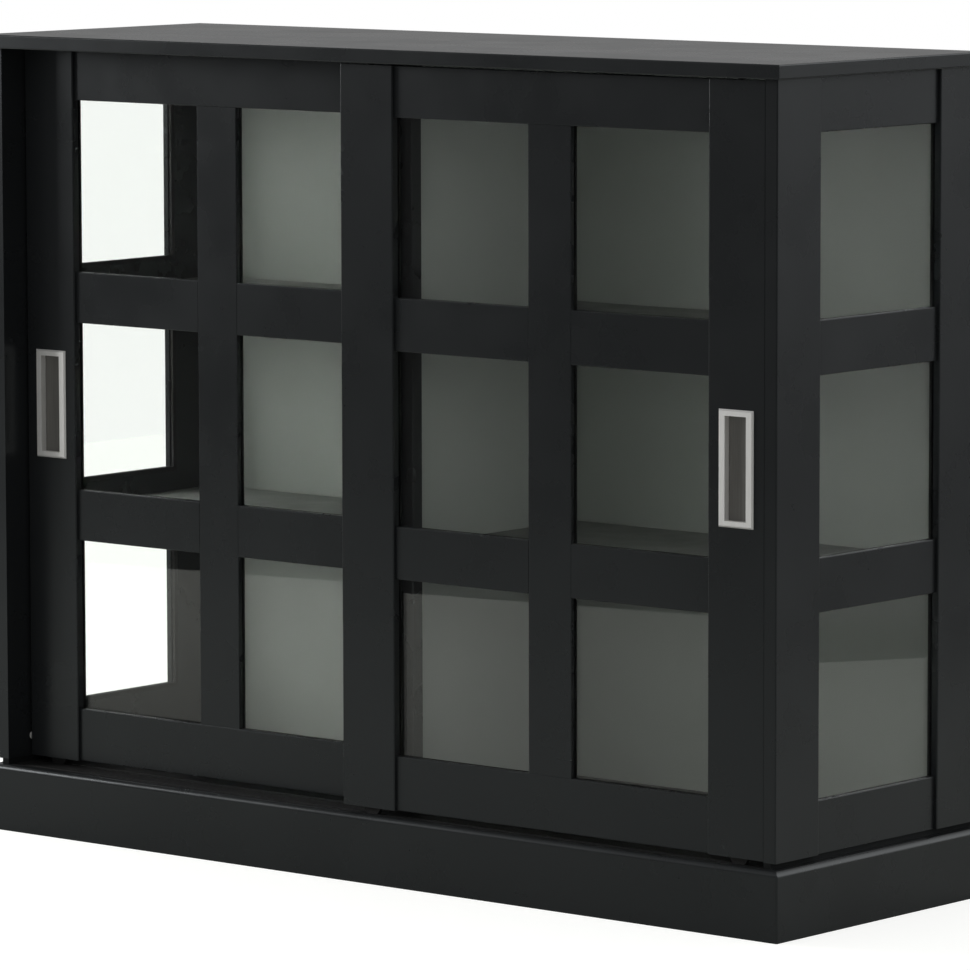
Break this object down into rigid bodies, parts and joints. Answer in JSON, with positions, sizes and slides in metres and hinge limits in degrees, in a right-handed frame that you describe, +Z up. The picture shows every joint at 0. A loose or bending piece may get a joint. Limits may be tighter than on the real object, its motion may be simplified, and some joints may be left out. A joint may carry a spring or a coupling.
{
  "type": "media cabinet",
  "caption": "Low glazed media cabinet on a plinth, with glazed side frames, shelves behind a divider and bypass sliding doors on rollers with flush pulls.",
  "frame": {"origin": "on the floor under the middle of the cabinet", "axes": "+X along the width to the right as seen from the front, +Y to the back, +Z up"},
  "size_m": [1.1, 0.354, 0.88],
  "materials": {
    "black_lacquer": "satin black lacquer on board",
    "black_board": "matt black board",
    "grey_board": "pale grey faced board, satin",
    "clear_glass": "clear float glass",
    "satin_nickel": "satin nickel plate",
    "black_plastic": "moulded, matt",
    "soft_bumper": "soft, matt",
    "support_steel": "nickel-plated steel"
  },
  "bodies": {
    "carcass": {"top_panel": "black_lacquer", "bottom_panel": "black_lacquer", "back_panel": "grey_board", "centre_divider": "grey_board", "left_shelf_upper": "grey_board", "left_shelf_lower": "grey_board", "right_shelf_upper": "grey_board", "right_shelf_lower": "grey_board", "shelf_pins": "support_steel", "left_side_front_stile": "black_lacquer", "left_side_rear_stile": "black_lacquer", "left_side_top_rail": "black_lacquer", "left_side_upper_rail": "black_lacquer", "left_side_lower_rail": "black_lacquer", "left_side_bottom_rail": "black_lacquer", "left_side_panes": "clear_glass", "right_side_front_stile": "black_lacquer", "right_side_rear_stile": "black_lacquer", "right_side_top_rail": "black_lacquer", "right_side_upper_rail": "black_lacquer", "right_side_lower_rail": "black_lacquer", "right_side_bottom_rail": "black_lacquer", "right_side_panes": "clear_glass", "side_glass_beads": "black_plastic", "plinth_front": "black_lacquer", "plinth_left": "black_lacquer", "plinth_right": "black_lacquer", "plinth_back": "black_board", "plinth_corner_blocks": "black_board", "top_track": "black_plastic", "bottom_track": "black_plastic", "door_bumpers": "soft_bumper"},
    "left_door": {"left_door_left_stile": "black_lacquer", "left_door_right_stile": "black_lacquer", "left_door_top_rail": "black_lacquer", "left_door_upper_rail": "black_lacquer", "left_door_lower_rail": "black_lacquer", "left_door_bottom_rail": "black_lacquer", "left_door_mullion": "black_lacquer", "left_door_panes": "clear_glass", "left_door_glass_beads": "black_plastic", "left_door_pull": "satin_nickel", "left_door_roller_housings": "black_plastic", "left_door_top_guides": "black_plastic"},
    "right_door": {"right_door_left_stile": "black_lacquer", "right_door_right_stile": "black_lacquer", "right_door_top_rail": "black_lacquer", "right_door_upper_rail": "black_lacquer", "right_door_lower_rail": "black_lacquer", "right_door_bottom_rail": "black_lacquer", "right_door_mullion": "black_lacquer", "right_door_panes": "clear_glass", "right_door_glass_beads": "black_plastic", "right_door_pull": "satin_nickel", "right_door_roller_housings": "black_plastic", "right_door_top_guides": "black_plastic"},
    "left_door_left_roller": {"left_door_left_roller": "black_plastic"},
    "left_door_right_roller": {"left_door_right_roller": "black_plastic"},
    "right_door_left_roller": {"right_door_left_roller": "black_plastic"},
    "right_door_right_roller": {"right_door_right_roller": "black_plastic"}
  },
  "joints": [
    {"name": "left_door_slide", "type": "slide", "parent": "carcass", "child": "left_door", "axis": [1, 0, 0], "range_m": [-0.0018, 0.4897]},
    {"name": "right_door_slide", "type": "slide", "parent": "carcass", "child": "right_door", "axis": [1, 0, 0], "range_m": [-0.4915, 0]},
    {"name": "left_door_left_roller_spin", "type": "hinge", "parent": "left_door", "child": "left_door_left_roller", "pos_m": [-0.4887, -0.1275, 0.0821], "axis": [0, 1, 0], "range_deg": [-9, 2339]},
    {"name": "left_door_right_roller_spin", "type": "hinge", "parent": "left_door", "child": "left_door_right_roller", "pos_m": [0.0008, -0.1275, 0.0821], "axis": [0, 1, 0], "range_deg": [-9, 2339]},
    {"name": "right_door_left_roller_spin", "type": "hinge", "parent": "right_door", "child": "right_door_left_roller", "pos_m": [0.001, -0.1605, 0.0821], "axis": [0, 1, 0], "range_deg": [-2347, 0]},
    {"name": "right_door_right_roller_spin", "type": "hinge", "parent": "right_door", "child": "right_door_right_roller", "pos_m": [0.4905, -0.1605, 0.0821], "axis": [0, 1, 0], "range_deg": [-2347, 0]}
  ],
  "couplings": [
    {"joint": "left_door_left_roller_spin", "follows": "left_door_slide", "rad_per_m": 83.333},
    {"joint": "left_door_right_roller_spin", "follows": "left_door_slide", "rad_per_m": 83.333},
    {"joint": "right_door_left_roller_spin", "follows": "right_door_slide", "rad_per_m": 83.333},
    {"joint": "right_door_right_roller_spin", "follows": "right_door_slide", "rad_per_m": 83.333}
  ]
}
